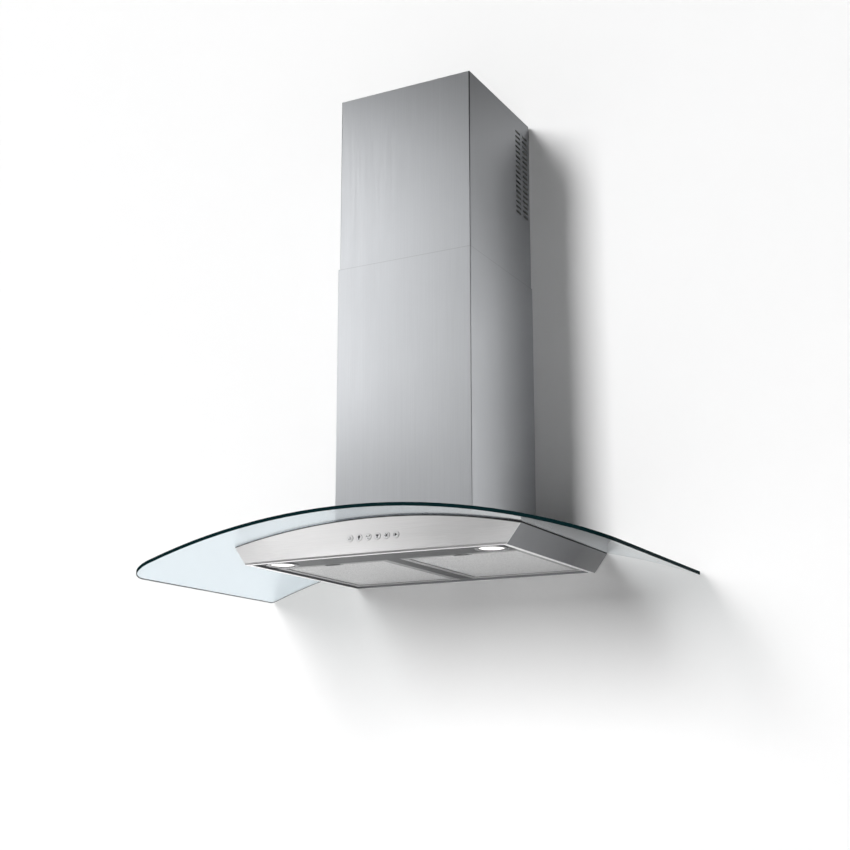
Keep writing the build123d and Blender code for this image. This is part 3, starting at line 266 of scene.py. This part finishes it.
# ---------------------------------------------------------------- lines and edges on the steel
FOLD = 2.0 * MM                         # width of the painted shade along the upper cover's front folds
FOLD_HEIGHTS = (0.45, 0.65)             # where that line goes from faint to dark
GASKET_SHADE = 1.2 * MM                 # dark line along the panel's top edge, under the glass
GLASS_UNDERSIDE = 1.272                 # radius that the panel's top edge follows
GRAZING = (0.615, 0.69)                 # Layer Weight's Facing, from plain to full mirror
SEAM = 1.8 * MM                         # darker line along the lower cover's upper edge
RAIL = (12 * MM, 9 * MM)                # band of the painted highlight on the filters' rear rail, in from their rear edge


def fold_shade(finish):
    """Painted shade along the front folds of the upper cover, darkest near its top."""
    low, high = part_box("upper_chimney")
    place = finish.axes(finish.coordinates)
    across = finish.math("ABSOLUTE", place["X"])
    aside = finish.range(across, 0.0, 1.0, high.x - FOLD, high.x - FOLD / 2)
    ahead = finish.range(place["Y"], 1.0, 0.0, low.y + FOLD / 2, low.y + FOLD)
    upward = finish.range(place["Z"], 0.1, 0.9, *FOLD_HEIGHTS)
    return finish.math("MULTIPLY", finish.math("MULTIPLY", aside, ahead), upward)


def panel_top(finish):
    """Thin shade where the panel meets the gasket."""
    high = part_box("front_panel")[1]
    place = finish.axes(finish.coordinates)
    rise = finish.math("SUBTRACT", place["Z"], high.z - GLASS_UNDERSIDE)
    shade_ends = (GLASS_UNDERSIDE - GASKET_SHADE, GLASS_UNDERSIDE - GASKET_SHADE / 2)
    return finish.range(finish.distance(rise, place["X"]), 0.0, 0.9, *shade_ends)


def grazing(finish):
    """Where the steel is seen along its surface and mirrors what lies beyond it."""
    facing = finish.node("LayerWeight", Blend=0.5).outputs["Facing"]
    return finish.range(facing, 0.0, 1.0, *GRAZING)


def cover_top(finish):
    """Upper edge of the lower cover, a faint line across the chimney."""
    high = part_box("lower_chimney")[1]
    place = finish.axes(finish.coordinates)
    return finish.range(place["Z"], 0.0, 0.35, high.z - SEAM, high.z - SEAM / 2)


def rail_highlight(finish):
    """Painted highlight on the rails next to the wall, where they catch the light."""
    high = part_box("right_filter_frame")[1]
    place = finish.axes(finish.coordinates)
    return finish.range(place["Y"], 0.0, 1.0, *(high.y - inwards for inwards in RAIL))


# ---------------------------------------------------------------- finishes
def cover_steel(name, mark, marked):
    """Steel of the two chimney covers, with upright grain."""
    colour = (0.625, 0.64, 0.662)
    return brushed(name, colour, 0.34, "Z", 0.16, contrast=0.94, mark=mark, marked=marked)


# by the record's material slot, or by node where a node has a look of its own
finishes = {
    "canopy_glass": canopy_glass(),
    "black_gasket": soft_rubber(),
    "polished_screws": plated("polished_screws", (0.80, 0.80, 0.80), 0.16, 300.0, 0.05),
    "zinc_fixings": plated("zinc_fixings", (0.66, 0.67, 0.66), 0.32, 500.0),
    # upper cover: painted shade along its front folds, deeper towards the top
    "upper_chimney": cover_steel("upper_cover_steel", fold_shade, (0.04, 0.04, 0.045)),
    "lower_chimney": cover_steel("lower_cover_steel", cover_top, (0.36, 0.37, 0.38)),
    # front panel: its steel is lighter than the covers' steel, painted light where it faces up to
    # the lamps
    "front_panel": brushed("front_panel_painted_light_steel", (0.855, 0.85, 0.85), 0.38, "X", 0.16, 0.2, 0.93,
                           mark=panel_top, marked=(0.06, 0.06, 0.06)),
    # body: its steel is darker than the covers' and panel's steel, painted shade on its down-facing
    # sides; seen edgewise the grazing mark still turns it to full mirror
    "body_steel": brushed("body_steel", (0.25, 0.255, 0.265), 0.33, "X",
                          mark=grazing, marked=(1.0, 1.0, 1.0)),
    # underside frame: painted highlight on its rear rail
    "underside_frame": brushed("underside_steel", (0.07, 0.072, 0.075), 0.36, "X",
                               mark=rail_highlight, marked=(0.22, 0.22, 0.225)),
    "lamp_trim": plated("lamp_trim", (0.20, 0.20, 0.21), 0.22, 200.0, 0.04),
    "lamp_lens": lit_lens(),
    "lamp_bulb": moulded("lamp_bulb", (0.90, 0.88, 0.82), 0.2, 200.0, 0.1),
    "zinc_sheet": plated("zinc_sheet", (0.62, 0.63, 0.63), 0.38, 130.0, contrast=0.90),
    # filter frames: painted highlight on their rear rail
    "filter_aluminium": brushed("filter_aluminium", (0.40, 0.40, 0.405), 0.4, "X", turned=0.3,
                                mark=rail_highlight, marked=(0.66, 0.66, 0.665)),
    "filter_mesh": plated("filter_mesh", (0.95, 0.95, 0.95), 0.4, 900.0, 0.1),
    "latch_plastic": moulded("latch_plastic", (0.03, 0.03, 0.032), 0.45),
    "button_metal": brushed("button_metal", (0.83, 0.83, 0.835), 0.38, "X", turned=0.2),
    "dark_plastic": moulded("dark_plastic", (0.028, 0.028, 0.03), 0.5),
    "circuit_board": circuit_board(),
    "grey_plastic": moulded("grey_plastic", (0.16, 0.165, 0.17), 0.5, 600.0),
    "motor_can": plated("motor_can", (0.28, 0.29, 0.30), 0.42, 120.0, 0.2),
    "pale_plastic": moulded("pale_plastic", (0.60, 0.60, 0.58), 0.48, 700.0),
    "capacitor_case": moulded("capacitor_case", (0.72, 0.72, 0.70), 0.25, 500.0, 0.08),
}

for name, node in nodes.items():
    material = finishes[name] if name in finishes else finishes[slots[name]]
    if node.material_slots:
        for held in node.material_slots:
            held.material = material
    else:
        node.data.materials.append(material)


# ---------------------------------------------------------------- piece helper
def piece(name, mesh_maker, material, body):
    """Object made from a bmesh, dressed and riding on a body."""
    made = bmesh.new()
    mesh_maker(made)
    mesh = bpy.data.meshes.new(name)
    made.to_mesh(mesh)
    made.free()
    mesh.materials.append(material)
    thing = bpy.data.objects.new(name, mesh)
    bpy.context.scene.collection.objects.link(thing)
    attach(thing, body)
    return thing


# ---------------------------------------------------------------- filter mesh
DIAMOND_LONG = 5.2 * MM         # across a hole of the expanded sheet, along X
DIAMOND_SHORT = 3.4 * MM
STRAND = 0.9 * MM
STRAND_DEPTH = 0.5 * MM
STRAND_TILT = 0.25 * STRAND     # how far a strand's edges are twisted out of the sheet
SHEET_INSET = 0.6 * MM          # of the two sheets, from the lower and upper face of the solid
POCKET_ASIDE = 2.0 * MM         # room round the latch, free of net and gauze
POCKET_BEHIND = 9.0 * MM
POCKET_AHEAD = 1.0 * MM
GAUZE_THICKNESS = 0.4 * MM


def expanded_sheet(made, low, high, height, hole_low, hole_high):
    """Expanded metal between two corners: a net of diamonds, left out round the latch's pocket."""
    columns = int((high.x - low.x) / DIAMOND_LONG)
    rows = int((high.y - low.y) / DIAMOND_SHORT)
    step_x = (high.x - low.x) / columns
    step_y = (high.y - low.y) / rows
    tilt = Vector((0, 0, STRAND_TILT))
    thick = Vector((0, 0, STRAND_DEPTH))

    def in_pocket(x, y):
        return hole_low.x < x < hole_high.x and hole_low.y < y < hole_high.y

    def corner(i, j, right, up):
        return (low.x + step_x * (i + 0.5 + right), low.y + step_y * (j + 0.5 + up))

    def strand(start, end):
        run = Vector((end[0] - start[0], end[1] - start[1], 0))
        side = Vector((-run.y, run.x, 0)).normalized() * STRAND / 2
        base = Vector((*start, height))
        bottom = [base - side - tilt, base + run - side + tilt,
                  base + run + side + tilt, base + side - tilt]
        verts = [made.verts.new(p) for p in bottom] + [made.verts.new(p + thick) for p in bottom]
        for face in ((3, 2, 1, 0), (4, 5, 6, 7), (0, 1, 5, 4), (2, 3, 7, 6)):
            made.faces.new([verts[k] for k in face])

    for j in range(rows):
        for i in range(columns):
            ends = [corner(i, j, 0.5, 0), corner(i, j, 0, 0.5),
                    corner(i, j, -0.5, 0), corner(i, j, 0, -0.5)]
            for start, end in zip(ends, ends[1:] + ends[:1]):
                if not in_pocket(*start) and not in_pocket(*end):
                    strand(start, end)


def gauze(made, low, high, height, hole_low, hole_high):
    """Fine inner layer that closes the view through the net."""
    cut_x = [low.x, hole_low.x, hole_high.x, high.x]
    cut_y = [low.y, hole_high.y, high.y]
    grid = [[made.verts.new((x, y, height)) for y in cut_y] for x in cut_x]
    for i, j in ((0, 0), (0, 1), (1, 1), (2, 0), (2, 1)):
        made.faces.new((grid[i][j], grid[i + 1][j], grid[i + 1][j + 1], grid[i][j + 1]))


def gauze_finish():
    finish = Finish("filter_gauze", (0.65, 0.65, 0.65), 0.55, 1.0)
    weave = finish.cells(620.0, "Distance")
    shade = finish.range(weave, 0.0, 1.0, 0.1, 0.6)
    finish.feed("Base Color", finish.blend(shade, (0.33, 0.33, 0.33), (0.82, 0.82, 0.82)))
    finish.bump(weave, 0.8, 0.4 * MM)
    return finish.material


gauze_metal = gauze_finish()
for side in ("left", "right"):
    mesh_node = f"{side}_filter_mesh"
    low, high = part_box(mesh_node)
    latch_low, latch_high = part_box(f"{side}_filter_latch")
    pocket_low = Vector((latch_low.x - POCKET_ASIDE, low.y - POCKET_AHEAD, 0))
    pocket_high = Vector((latch_high.x + POCKET_ASIDE, latch_high.y + POCKET_BEHIND, 0))

    def net(made):
        for height in (low.z + SHEET_INSET, high.z - SHEET_INSET - STRAND_DEPTH):
            expanded_sheet(made, low, high, height, pocket_low, pocket_high)

    def lining(made):
        gauze(made, low, high, (low.z + high.z) / 2, pocket_low, pocket_high)

    body = f"{side}_filter"
    woven = piece(f"{side}_expanded_mesh", net, finishes["filter_mesh"], body)
    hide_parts(mesh_node)
    inner = piece(f"{side}_inner_gauze", lining, gauze_metal, body)
    inner.modifiers.new("thickness", "SOLIDIFY").thickness = GAUZE_THICKNESS


# ---------------------------------------------------------------- button icons
PANEL_LEAN = math.radians(7.9)
press_out = Vector((0, -math.cos(PANEL_LEAN), math.sin(PANEL_LEAN)))
panel_up = Vector((0, math.sin(PANEL_LEAN), math.cos(PANEL_LEAN)))
panel_right = Vector((1, 0, 0))
INK = 0.05 * MM
FACE_DEPTH = 0.02 * MM          # of a button's outermost points, taken as its face
ICON_SCALE = 1.45 * MM          # length of one unit in the drawings below
THIRD = 2 * math.pi / 3         # of a turn


def disc(x, y, radius_x, radius_y, steps=24):
    turns = [2 * math.pi * k / steps for k in range(steps)]
    return [[(x + radius_x * math.cos(turn), y + radius_y * math.sin(turn)) for turn in turns]]


def bar(x, y, length, width, angle=0.0):
    c, s = math.cos(angle), math.sin(angle)
    corners = [(u * length / 2, v * width / 2) for u, v in ((-1, -1), (1, -1), (1, 1), (-1, 1))]
    return [[(x + c * u - s * v, y + s * u + c * v) for u, v in corners]]


def blade(angle, length=2.9, width=1.25):
    """One lobe of a fan, from the middle outwards."""
    c, s = math.cos(angle), math.sin(angle)
    lobe = [(0, 0), (0.5, 0.45), (0.78, 1.0), (1.0, 0.9), (0.95, 0.1), (0.55, -0.2)]
    return [[(c * u * length - s * v * width, s * u * length + c * v * width) for u, v in lobe]]


# outlines of each icon about its middle, with X to the right and Y up the panel
icons = {
    "timer": bar(0, -0.9, 4.2, 0.75) + bar(0, 1.3, 0.6, 2.0) + bar(0.8, 0.4, 1.8, 0.55),
    "light": disc(0, 0.8, 1.5, 1.9) + bar(0, -1.5, 1.6, 0.9) + bar(0, -2.5, 1.1, 0.55),
    "slower": blade(0.4) + blade(0.4 + THIRD) + blade(0.4 + 2 * THIRD) + bar(2.6, -2.4, 1.3, 0.45),
    "faster": [[(-1.7, 1.9), (1.7, 1.9), (1.9, 1.0), (0.45, -1.1), (-0.45, -1.1), (-1.9, 1.0)]]
    + bar(0, -2.0, 2.4, 0.6),
    "boost": [outline for k in range(3) for outline in bar(0, 0, 5.4, 0.6, k * THIRD / 2)]
    + disc(0, 0, 1.1, 1.1),
    "power": [[(-1.4, 2.1), (-1.4, -2.1), (2.3, 0)]] + bar(-2.5, 0, 0.5, 3.4),
}
ink = moulded("icon_ink", (0.035, 0.035, 0.04), 0.55, 1500.0, 0.1)


def printed(outlines, centre):
    """Thin prisms on a button's face."""
    def make(made):
        for outline in outlines:
            drawn = [(x * ICON_SCALE, y * ICON_SCALE) for x, y in outline]
            back = [centre + panel_right * x + panel_up * y for x, y in drawn]
            lower = [made.verts.new(p) for p in back]
            upper = [made.verts.new(p + press_out * INK) for p in back]
            made.faces.new(upper)
            made.faces.new(lower[::-1])
            for k in range(len(back)):
                n = (k + 1) % len(back)
                made.faces.new((lower[k], lower[n], upper[n], upper[k]))
        bmesh.ops.recalc_face_normals(made, faces=made.faces)
    return make


for label, outlines in icons.items():
    body = f"{label}_button"
    points = [v.co for v in nodes[body].data.vertices]
    reach = max(p.dot(press_out) for p in points)
    face = [p for p in points if p.dot(press_out) > reach - FACE_DEPTH]
    centre = sum(face, Vector()) / len(face)
    piece(f"{label}_icon", printed(outlines, centre), ink, body)


# ---------------------------------------------------------------- stage
PALE = (0.93, 0.93, 0.93)
MIRRORED_HEIGHTS = (0.3, 0.85)  # between these the wall goes dark in what mirrors it: painted shade in reflections
MIRRORED_SHADE = 0.2
STAGE_SIZE = 14.0
FLOOR_Z = -1.6
WALL_GAP = 0.6 * MM


def stage_finish(name, open_back):
    """Plain pale surface, seen from its front alone, but darker higher up in reflections: painted
    shade; open_back 1 lets light in from behind.
    """
    finish = Finish(name, PALE, 0.9, Specular_IOR_Level=0.0)
    rays = finish.node("LightPath").outputs
    # painted shade: the wall goes darker higher up, in what mirrors it only
    upward = finish.range(finish.axes(finish.coordinates)["Z"], 0.0, 1.0, *MIRRORED_HEIGHTS)
    reflected_wall_shade = finish.math("MULTIPLY", upward, rays["Is Glossy Ray"])
    plain = finish.blend(finish.noise(1.5), scaled(PALE, 0.985), PALE)
    finish.feed("Base Color", finish.blend(reflected_wall_shade, plain, scaled(PALE, MIRRORED_SHADE)))
    lit_through = finish.math("MULTIPLY", rays["Is Shadow Ray"], open_back)
    behind = finish.node("NewGeometry").outputs["Backfacing"]
    unseen = finish.math("MAXIMUM", behind, lit_through)
    clear = finish.node("BsdfTransparent").outputs[0]
    finish.show(finish.mixed(unseen, finish.shader.outputs[0], clear))
    return finish.material


def stage_plane(name, centre, across, up, material):
    """Square sheet whose front looks along across x up."""
    mesh = bpy.data.meshes.new(name)
    half_across = Vector(across) * STAGE_SIZE / 2
    half_up = Vector(up) * STAGE_SIZE / 2
    middle = Vector(centre)
    corners = [middle - half_across - half_up, middle + half_across - half_up,
               middle + half_across + half_up, middle - half_across + half_up]
    mesh.from_pydata(corners, [], [(0, 1, 2, 3)])
    mesh.materials.append(material)
    sheet = bpy.data.objects.new(name, mesh)
    bpy.context.scene.collection.objects.link(sheet)


pale_floor = stage_finish("pale_floor", 0.0)
pale_wall = stage_finish("pale_wall", 1.0)
stage_plane("floor", (0, WALL_GAP - STAGE_SIZE / 2, FLOOR_Z), (1, 0, 0), (0, 1, 0), pale_floor)
stage_plane("backdrop", (0, WALL_GAP, FLOOR_Z + STAGE_SIZE / 2), (1, 0, 0), (0, 0, 1), pale_wall)


# ---------------------------------------------------------------- light
def area_light(name, place, aim, size, energy, diffuse=True, glossy=True):
    data = bpy.data.lights.new(name, "AREA")
    data.shape = "RECTANGLE"
    data.size, data.size_y = size
    data.energy = energy
    lamp = bpy.data.objects.new(name, data)
    lamp.location = place
    lamp.rotation_euler = (Vector(aim) - Vector(place)).to_track_quat("-Z", "Y").to_euler()
    lamp.visible_diffuse = diffuse
    lamp.visible_glossy = glossy
    lamp.visible_transmission = False
    lamp.visible_camera = False
    bpy.context.scene.collection.objects.link(lamp)


def reflector(name, place, aim, size, energy):
    """Lamp that only shows in what mirrors it."""
    area_light(name, place, aim, size, energy, diffuse=False)


area_light("key", (-13.5, -33.2, 13.0), (0, -0.2, 0.1), (9.8, 19.4), 13500, glossy=False)
reflector("softbox", (-1.7, -2.2, 1.25), (0, -0.27, 0.3), (1.2, 1.2), 8.7)
reflector("panel_glow", (-2.3, -2.2, 0.75), (-0.2, -0.4, -0.1), (0.8, 0.6), 3.3)
reflector("overhead", (0, -2.3, 3.8), (0, -0.2, 0.2), (3.4, 1.5), 9.0)
area_light("rear_fill", (0, 3.0, 1.15), (0, 0, 1.15), (0.24, 2.0), 24)
reflector("mirror_card", (-2.4, -4.2, 0.28), (0, -0.4, 0.0), (2.6, 0.36), 3.4)
reflector("front_card", (-0.6, -4.2, -1.0), (-0.6, 0, -1.0), (6.0, 2.2), 42)

SKY_LIGHT = 0.03                # on the object
SKY_MIRRORED = 0.136            # in what mirrors it
SKY_SEEN = 1.0                  # past the edges of the stage

world = bpy.data.worlds.new("studio")
bpy.context.scene.world = world
world.use_nodes = True
sky = world.node_tree
rays = sky.nodes.new("ShaderNodeLightPath").outputs
shown = sky.nodes["Background"]
shown.inputs["Color"].default_value = (1, 1, 1, 1)
shown.inputs["Strength"].default_value = SKY_LIGHT
for ray, strength in (("Is Camera Ray", SKY_SEEN), ("Is Glossy Ray", SKY_MIRRORED)):
    background = sky.nodes.new("ShaderNodeBackground")
    background.inputs["Color"].default_value = (1, 1, 1, 1)
    background.inputs["Strength"].default_value = strength
    choice = sky.nodes.new("ShaderNodeMixShader")
    sky.links.new(rays[ray], choice.inputs[0])
    sky.links.new(shown.outputs[0], choice.inputs[1])
    sky.links.new(background.outputs[0], choice.inputs[2])
    shown = choice
sky.links.new(shown.outputs[0], sky.nodes["World Output"].inputs["Surface"])

# ---------------------------------------------------------------- camera
CAMERA_PLACE = (1.1899, -2.4166, -0.5464)
CAMERA_PITCH = 12.47            # degrees above the horizon
CAMERA_YAW = 28.07              # degrees to the left of +Y
SENSOR = 36.0                   # millimetres
LENS = 60.53
SHIFT_Y = 0.04

camera_data = bpy.data.cameras.new("camera")
camera_data.sensor_width = SENSOR
camera_data.lens = LENS
camera_data.shift_y = SHIFT_Y
camera = bpy.data.objects.new("camera", camera_data)
camera.location = CAMERA_PLACE
camera.rotation_euler = (math.radians(90 + CAMERA_PITCH), 0, math.radians(CAMERA_YAW))
bpy.context.scene.collection.objects.link(camera)
bpy.context.scene.camera = camera
bpy.context.scene.view_settings.view_transform = "Standard"
